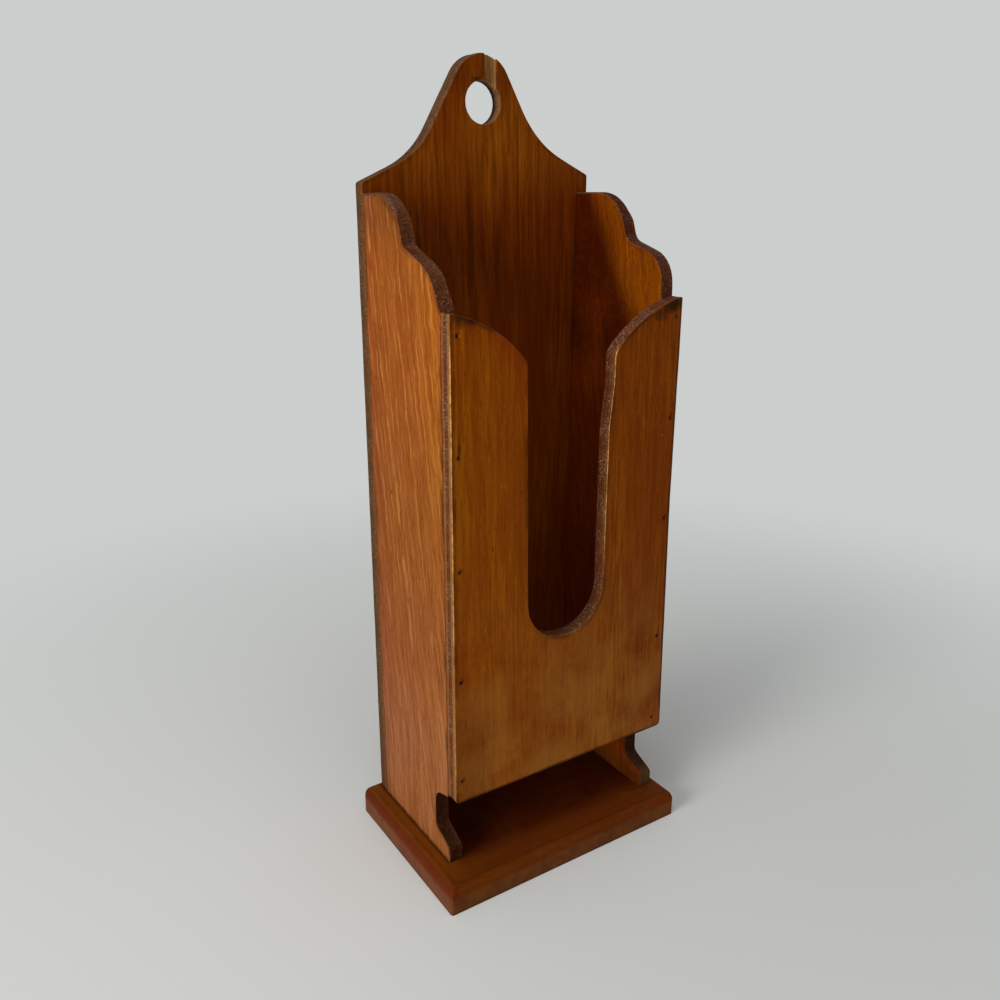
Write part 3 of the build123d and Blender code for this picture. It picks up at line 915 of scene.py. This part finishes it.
side_ply = ply_material(
    "side_ply", (1, 0, 2),
    light=(0.420, 0.126, 0.0150), dark=(0.225, 0.052, 0.0040), ring_tone=(0.66, 0.28, 0.065),
    red_tone=(0.265, 0.056, 0.0060),
    edge_tones=((0.145, 0.036, 0.013), (0.115, 0.028, 0.010), (0.140, 0.036, 0.013), (0.060, 0.016, 0.008)),
    bare_tone=(0.24, 0.105, 0.060),
    figure={"Ring gap": 0.0058, "Ring width": 0.32, "Ring sway": 0.008, "Flutter": 0.0036, "Lean": -0.16,
            "Breaks": 65.0, "Seed": 7.0},
    amounts={"rings": 0.64, "bands": 0.50, "patches": 0.55, "pores": 0.75, "flecks": 0.65, "flank": 0.25,
             "scuff": 0.10, "glue": 0.35, "fuzz": 0.45},
    own_face=side_face, own_cut=side_cut, own_lines=side_lines)


# The back board's finish

def back_lines(kit):
    """Strong in the crown, faint inside the pocket."""
    return (kit.ramp(kit.z, 250, 350, 0.25),)


def back_face(kit, colour):
    """Painted shade behind the pocket's mouth and painted light deeper in the pocket, and redder at the
    crown's left and top.
    """
    # The first three tones are painted shade and light inside the pocket; the last two redden the crown.
    for tone, *where in (((0.74, 0.54, 0.62), kit.ramp(kit.z, 385, 345)),
                         ((1.36, 1.46, 1.3), kit.ramp(kit.z, 325, 255)),
                         ((1.03, 1.10, 1.0), kit.ramp(kit.z, 255, 205)),
                         ((0.97, 0.80, 1.0), kit.ramp(kit.z, 375, 388), kit.ramp(kit.x, 0, -30)),
                         ((0.74, 0.60, 0.9), kit.ramp(kit.z, 396, 418))):
        colour = kit.tint(colour, tone, *where)
    return soaked_places(kit, colour, (
        ((BACK_LOW.x + 66, BACK_LOW.y, 415), 4, 0.5, 0.8),
        ((BACK_LOW.x + 62, BACK_LOW.y, 338), 2, 1.6, 0.5)))


def back_cut(kit, edge, cut):
    """The sawn edge is paler along the body than round the crown, and dark at its rear rim. The wall of the
    hanging hole has painted light near the front and painted shade behind."""
    layer = kit.mark["layer"]
    body, crown = kit.tint(cut, (1.90, 2.10, 2.10)), kit.tint(cut, (1.12, 1.14, 1.06))
    cut = kit.blend(kit.ramp(kit.z, 368, 372), body, crown)
    cut = kit.tint(cut, (0.36, 0.40, 0.46), kit.spread(layer, 0.84, 0.97))
    # The hanging hole's wall: painted light near its mouth, painted shade deeper in.
    worn = kit.blend(kit.spread(layer, 0.45, 0.75), shade(0.26, 0.125, 0.052), shade(0.045, 0.020, 0.010))
    worn = kit.over(worn, (0.055, 0.024, 0.012), edge["Tear"], 0.55)
    from_hole = kit.away(kit.place, (HOLE[0] / MM, 0.0, HOLE[1] / MM), (1.0, 0.0, 1.0))
    return kit.blend(kit.ramp(from_hole, 14, 13), cut, worn)


def bare_strip(kit, colour):
    """Unstained wood where the face ply broke away: greyish at the left, warmer at the right."""
    middle, face = (BACK_LOW.x + BACK_HIGH.x) / 2, BACK_LOW.y
    deep = kit.times(kit.ramp(kit.y, face + 0.3, face + 0.8), kit.ramp(kit.y, face + 3.4, face + 2.8))
    wide = kit.times(kit.ramp(kit.x, middle + 0.3, middle + 0.9), kit.ramp(kit.x, middle + 9.3, middle + 8.9))
    warm = kit.ramp(kit.x, middle + 4.2, middle + 6.4)
    bare = kit.blend(warm, shade(0.35, 0.19, 0.050), shade(0.46, 0.22, 0.080))
    fibres = kit.speckle(kit.place, (1500, 1500, 90), 4.0, 0.6)
    bare = kit.over(bare, (0.24, 0.115, 0.034), kit.spread(fibres, 0.40, 0.62))
    return kit.blend(kit.times(deep, wide, kit.ramp(kit.z, 405, 407)), colour, bare)


back_ply = ply_material(
    "back_ply", (0, 1, 2),
    light=(0.365, 0.100, 0.0028), dark=(0.210, 0.043, 0.0010), ring_tone=(0.070, 0.0110, 0.0006),
    red_tone=(0.185, 0.033, 0.0008),
    edge_tones=((0.095, 0.036, 0.012), (0.070, 0.025, 0.009), (0.060, 0.023, 0.009), (0.035, 0.012, 0.006)),
    bare_tone=(0.18, 0.090, 0.045),
    figure={"Ring gap": 0.0070, "Ring width": 0.62, "Ring sway": 0.010, "Flutter": 0.0012, "Lean": 0.012,
            "Breaks": 20.0, "Seed": 11.0},
    amounts={"rings": 0.62, "bands": 0.60, "patches": 0.45, "pores": 0.45, "flecks": 0.15, "flank": 0.5,
             "scuff": 0.05, "glue": 0.5, "fuzz": 0.4},
    own_face=back_face, own_cut=back_cut, own_lines=back_lines, own_last=bare_strip)


# The base board and the nails

def base_material():
    """Solid red-brown board, its grain along the front: a paler ledge at the left, a dark ragged line behind
    the round-over, uneven upright edges with a painted sheen at the left end, painted shade along the bottom,
    and painted shade in the pocket and at the left side's joint."""
    kit = WoodSurface("base_wood", (1, 2, 0), {
        "Ring gap": 0.014, "Ring width": 0.6, "Ring sway": 0.02, "Flutter": 0.002, "Lean": 0.03,
        "Seed": 17.0})
    x, y, z, wood = kit.x, kit.y, kit.z, kit.wood
    upwards = kit.split(kit.facing)[2]
    level = kit.spread(upwards, 0.6, 0.9)
    colour = kit.blend(wood["Streaks"], shade(0.138, 0.030, 0.0021), shade(0.115, 0.022, 0.0013))
    colour = kit.over(colour, (0.065, 0.010, 0.0010), wood["Rings"], 0.15)
    colour = kit.over(colour, (0.110, 0.015, 0.0013), wood["Patches"], 0.55)
    left_round = kit.times(kit.ramp(z, BASE_HIGH.z - 0.1, BASE_HIGH.z - 1.0),
                           kit.ramp(x, BASE_LOW.x + 6, BASE_LOW.x + 4.5))
    colour = kit.over(colour, (0.110, 0.014, 0.005), left_round, 0.7)
    colour = kit.over(colour, (0.03, 0.008, 0.003), wood["Pores"], 0.28)
    # Painted shade on the base's top inside the pocket.
    pocket = kit.times(kit.ramp(y, FRONT_LOW.y, FRONT_LOW.y + 14), level,
                       kit.ramp(x, LEFT_LOW.x + 2, LEFT_HIGH.x), kit.ramp(x, RIGHT_HIGH.x - 2, RIGHT_LOW.x))
    colour = kit.tint(colour, (0.52, 0.31, 0.30), pocket)
    ledge = kit.times(kit.ramp(x, LEFT_LOW.x + 9, LEFT_LOW.x - 4), kit.spread(upwards, 0.90, 0.99),
                      kit.ramp(y, BASE_LOW.y + 4, LEFT_LOW.y + 6))
    colour = kit.over(colour, (0.190, 0.047, 0.002), ledge, 0.7)

    # Painted shade in the corner at the left side's joint.
    from_joint = kit.calc("ABSOLUTE", kit.calc("SUBTRACT", x, LEFT_LOW.x * MM))
    joint = kit.times(kit.ramp(from_joint, 1.6, 0.3), kit.ramp(y, FRONT_HIGH.y - 1, FRONT_HIGH.y + 1), level)
    colour = kit.over(colour, (0.030, 0.008, 0.002), joint, 0.6)
    # A dark ragged line on the top, where the round-over begins at the front and at the left.
    ragged = kit.speckle(kit.place, 160.0, 3.0)
    shake = kit.centred(ragged, 2.2 * MM)
    from_front, from_left = (
        kit.calc("ABSOLUTE", kit.calc("SUBTRACT", kit.plus(part, shake), (edge + 6.0) * MM))
        for part, edge in ((y, BASE_LOW.y), (x, BASE_LOW.x)))
    line = kit.calc("MAXIMUM", kit.ramp(from_front, 1.3, 0.1), kit.ramp(from_left, 2.2, 0.2))
    colour = kit.over(colour, (0.030, 0.007, 0.001), line, kit.spread(ragged, 0.35, 0.62, 0.25),
                      kit.ramp(z, BASE_HIGH.z - 1.2, BASE_HIGH.z - 0.1), 0.40)

    upright = kit.spread(upwards, 0.45, 0.10)
    blotches = kit.spread(kit.speckle(kit.place, 120.0, 4.0, 0.7), 0.38, 0.62)
    edge_tone_and_sheen = kit.blend(blotches, shade(0.178, 0.050, 0.0068), shade(0.100, 0.025, 0.0036))
    # Painted sheen: the upright face at the left end is bluer.
    edge_tone_and_sheen = kit.tint(edge_tone_and_sheen, (0.97, 1.02, 2.2), kit.ramp(x, BASE_LOW.x + 3.0, BASE_LOW.x + 0.5))
    colour = kit.blend(kit.times(upright, 0.62), colour, edge_tone_and_sheen)
    colour = kit.over(colour, (0.28, 0.095, 0.028), kit.worn(upright, 1.0)["Bare"], 0.14)
    # Painted shade along the bottom, where the base meets the floor.
    colour = kit.over(colour, (0.035, 0.014, 0.008), kit.ramp(z, 1.6, 0.2), 0.6)
    dust = kit.dust()
    colour = kit.over(colour, (0.26, 0.11, 0.03), dust["Dust"], 0.05)
    colour = kit.over(colour, (0.32, 0.12, 0.030), dust["Scuff"], 0.10)
    gloss = kit.plus(0.48, kit.times(dust["Scuff"], 0.2))
    relief = kit.plus(kit.times(wood["Pores"], -1.0), kit.times(wood["Streaks"], -0.4))
    return kit.finish_wood(colour, gloss, relief, 0.5, 0.12, (1.0, 0.60, 0.15))


def nail_material():
    """Old iron brads and nails, dark, with rust in patches."""
    kit = Surface("nail_steel")
    patches = kit.speckle(kit.place, 900.0, 4.0, 0.7)
    rust = kit.spread(patches, 0.40, 0.60)
    bump = kit.put("Bump", {"Strength": 0.6, "Distance": 0.05 * MM, "Height": patches})
    return kit.finish("BsdfPrincipled", {
        "Base Color": kit.blend(rust, shade(0.060, 0.052, 0.048), shade(0.050, 0.018, 0.009)),
        "Metallic": kit.times(kit.rest(rust), 0.6), "Roughness": kit.plus(0.50, kit.times(rust, 0.35)),
        "Normal": bump.outputs[0]})


def paint(piece, material):
    piece.data.materials.clear()
    piece.data.materials.append(material)


# Building and painting the boards

def hump(values, low, high, soft):
    """1 between low and high, fading to 0 over soft on both sides."""
    return np.clip((values - low) / soft + 1, 0, 1) * np.clip((high - values) / soft + 1, 0, 1)


def front_soft(x, y, z):
    curves = hump(z, 300, 312, 4) * hump(x, -56, 62, 4)
    left = hump(x, -67, -65, 1) * hump(z, 62, 296, 6)
    slot = hump(x, 22, 34, 2)
    return 0.2 * curves + 0.2 * left + 0.1 * slot, 0.25 * hump(x, -60, 66, 3) * hump(z, 60, 312, 3)


def side_soft(x, y, z):
    top = hump(z, 352, 365, 5) * hump(y, -45, 43.0, 0.6)
    return 2.0 * top + 0.25 * hump(z, 318, 365, 6), 0.5 * top + 0.35 * hump(z, 318, 365, 6)


def back_soft(x, y, z):
    return 0.9 * hump(z, 385, 430, 12) * hump(x, -60, -2, 4), 0.1


def front_fray(x, y, z):
    return 0.45 * hump(z, 285, 312, 8) * hump(x, -62, 70, 2) + 0.25 * hump(z, 130, 285, 4) * hump(x, 5, 40, 4)


def side_fray(x, y, z):
    return np.maximum(0.60 * hump(z, 311, 354, 4), 0.9 * hump(z, 15, 53, 1)) * hump(y, -30.5, 38, 1)


def back_fray(x, y, z):
    return 0.15 * hump(z, 372, 430, 5)


def front_rub(x, y, z):
    left_arris = hump(x, -67, -65, 1.5) * (0.45 + 0.55 * hump(z, 165, 285, 40))
    slot_arris = hump(x, 22, 34, 2) * hump(z, 180, 285, 12)
    slot_foot = hump(x, 0, 26, 4) * hump(z, 134, 150, 4) * 0.4
    strongest = np.maximum(np.maximum(left_arris, slot_arris), np.maximum(slot_foot, 0.08))
    return strongest * hump(y, -41, -37, 1.5)


def side_rub(x, y, z):
    return 0.15 + 0.35 * hump(z, 309, 330, 8) + 0.35 * hump(z, 12, 20, 4)


def back_rub(x, y, z):
    return 0.12 + 0.85 * hump(z, 380, 430, 12) * hump(x, -60, 0, 6)


front = sawn_sheet("slotted_front", "front_panel", 1, False, 3, front_rub, front_soft, front_fray)
left = sawn_sheet("left_side_sheet", "left_side", 0, False, 7, side_rub, side_soft, side_fray, wear=0.7)
right = sawn_sheet("right_side_sheet", "right_side", 0, True, 9, side_rub, side_soft, side_fray, wear=0.7)
back = sawn_sheet("crowned_back", "back_board", 1, False, 11, back_rub, back_soft, back_fray, wear=0.6)
tear_strip(back, HOLE[1])
for board, material, slot in ((front, front_ply, "front_ply"), (left, side_ply, "side_ply"),
                              (right, side_ply, "side_ply"), (back, back_ply, "back_ply")):
    paint(board, material)
    # The flat faces, not the arrises beside them, decide the shading
    board.modifiers.new("face shading", "WEIGHTED_NORMAL").weight = 90

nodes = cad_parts
paint(nodes["base_board"], base_material())
iron = nail_material()
for node in nodes.values():
    if "brads" in node.name or "nails" in node.name:
        paint(node, iron)


# Room, light and camera

PAPER = (0.60, 0.62, 0.607)
FLOOR_REACH = 6.0
# The camera as solved on the photograph's straight edges: place in metres, angles in degrees
CAMERA_PLACE = (-0.27049, -0.39113, 0.35789)
CAMERA_TURNS = ((-33.299, "Z"), (71.731, "X"), (0.167, "Z"))
CAMERA_LENS, CAMERA_SENSOR = 33.02, 36.0


def floor_sheet():
    """A large pale floor under the box. Far away it turns into the pale backdrop's own tone."""
    mesh = bpy.data.meshes.new("floor")
    corners = [(x * FLOOR_REACH, y * FLOOR_REACH, 0) for x, y in ((-1, -1), (1, -1), (1, 1), (-1, 1))]
    mesh.from_pydata(corners, [], [(0, 1, 2, 3)])
    floor = set_out("floor", mesh)
    kit = Surface("pale floor")
    paint_tone = kit.blend(kit.times(kit.speckle(kit.place, 3.0, 3.0), 0.5), shade(0.80, 0.82, 0.80),
                           shade(0.77, 0.79, 0.775))
    lit = kit.put("BsdfPrincipled", {"Base Color": paint_tone, "Roughness": 0.8, "Specular IOR Level": 0.05})
    far = kit.put("Emission", {"Color": shade(*PAPER), "Strength": 1.0})
    share = kit.times(kit.spread(kit.vector("LENGTH", kit.place)["Value"], 0.16, 0.74),
                      kit.put("LightPath").outputs["Is Camera Ray"])
    mesh.materials.append(kit.finish("MixShader", {0: share, 1: lit.outputs[0], 2: far.outputs[0]}))


def pale_room():
    world = bpy.data.worlds.new("pale room")
    bpy.context.scene.world = world
    world.use_nodes = True
    world.node_tree.nodes.clear()
    kit = Kit(world.node_tree)
    tone = kit.blend(kit.put("LightPath").outputs["Is Camera Ray"], shade(0.27, 0.272, 0.275), shade(*PAPER))
    sky = kit.put("Background", {"Color": tone, "Strength": 1.0})
    kit.tree.links.new(sky.outputs[0], kit.put("OutputWorld").inputs[0])


def soft_lamp(name, place, aim, size, watts, tint=(1.0, 1.0, 1.0)):
    lamp = bpy.data.lights.new(name, "AREA")
    lamp.shape, lamp.size, lamp.energy, lamp.color = "DISK", size, watts, tint
    stand = set_out(name, lamp)
    stand.location = place
    stand.rotation_euler = (Vector(aim) - Vector(place)).to_track_quat("-Z", "Y").to_euler()


def photo_camera():
    """Stands where the photograph was taken from: before the box's left front corner, at about the height of
    the back board's shoulders, looking down a little."""
    camera = bpy.data.cameras.new("camera")
    camera.sensor_width, camera.lens, camera.clip_start = CAMERA_SENSOR, CAMERA_LENS, 0.02
    stand = set_out("camera", camera)
    placed = Matrix.Translation(CAMERA_PLACE)
    for degrees, axis in CAMERA_TURNS:
        placed = placed @ Matrix.Rotation(math.radians(degrees), 4, axis)
    stand.matrix_world = placed
    bpy.context.scene.camera = stand


floor_sheet()
pale_room()
soft_lamp("window_left", place=(-1.55, -0.30, 0.68), aim=(0, 0, 0.2), size=0.8, watts=16.5,
          tint=(1.0, 0.985, 0.96))
soft_lamp("ceiling", place=(-0.35, -0.35, 1.9), aim=(0, 0, 0.1), size=1.5, watts=9.0)
photo_camera()
bpy.context.scene.view_settings.view_transform = "Standard"
